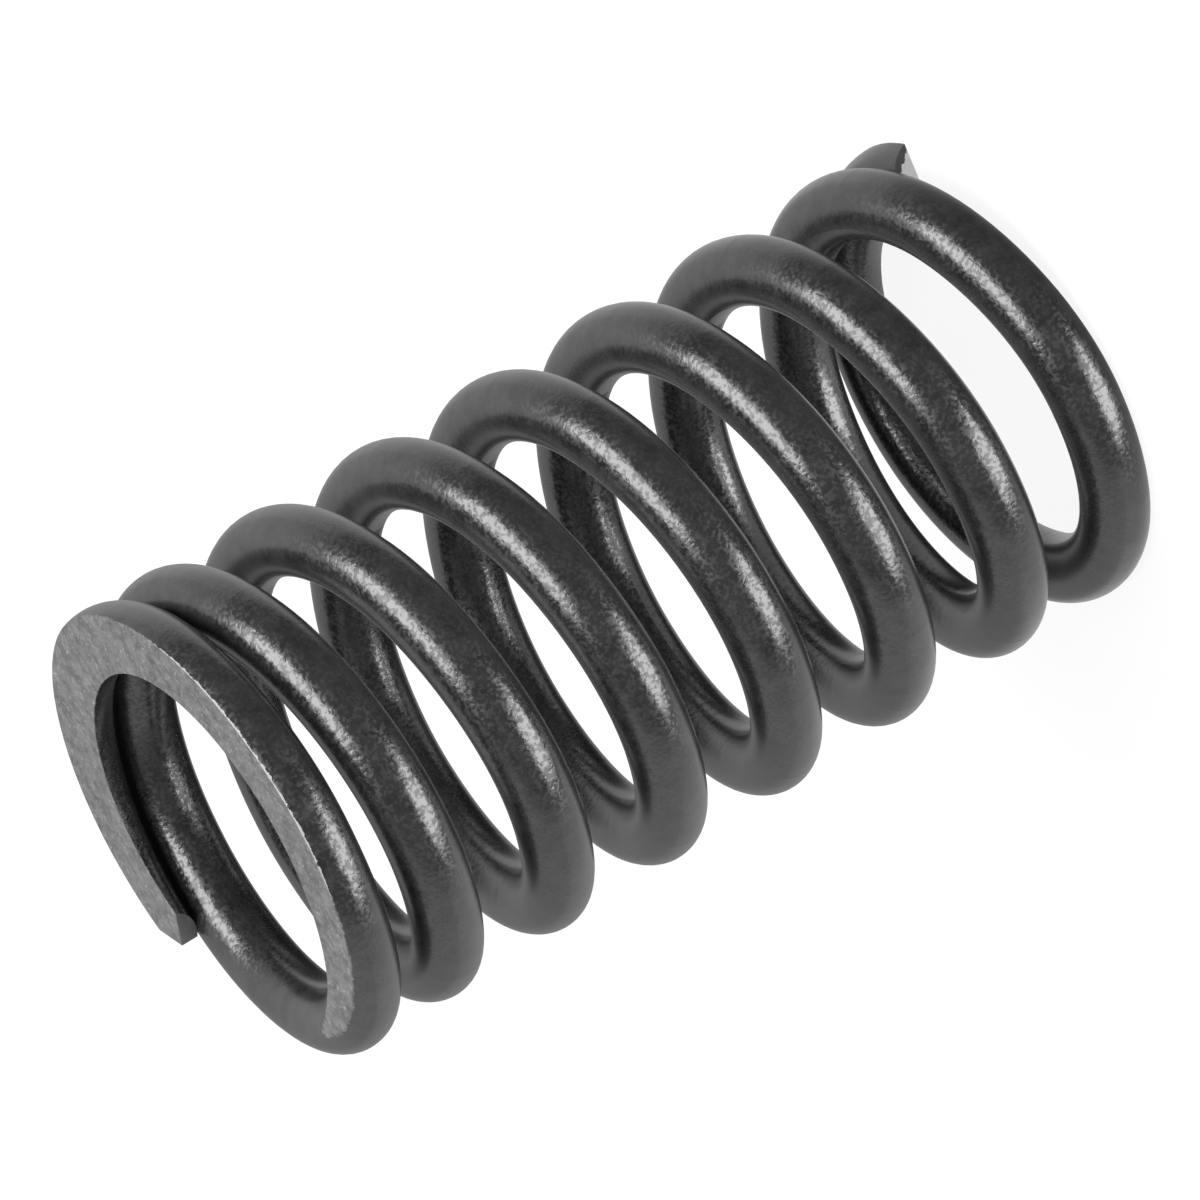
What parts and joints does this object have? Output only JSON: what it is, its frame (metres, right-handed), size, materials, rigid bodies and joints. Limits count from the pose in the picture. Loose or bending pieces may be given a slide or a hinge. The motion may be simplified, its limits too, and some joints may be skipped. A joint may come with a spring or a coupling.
{
  "type": "valve spring",
  "caption": "Right-hand compression spring of round wire, wound closer towards one end, with both ends closed and ground flat.",
  "frame": {"origin": "centre of the bottom ground face, on the coil axis", "axes": "+Z along the coil axis towards the close-wound end; the wire starts at +X on the bottom face and climbs right-handed"},
  "size_m": [0.0286, 0.0286, 0.0555],
  "materials": {
    "spring_wire": "dark oil-tempered wire, shot peened, satin"
  },
  "bodies": {
    "root": {"valve_spring": "spring_wire"}
  },
  "joints": []
}
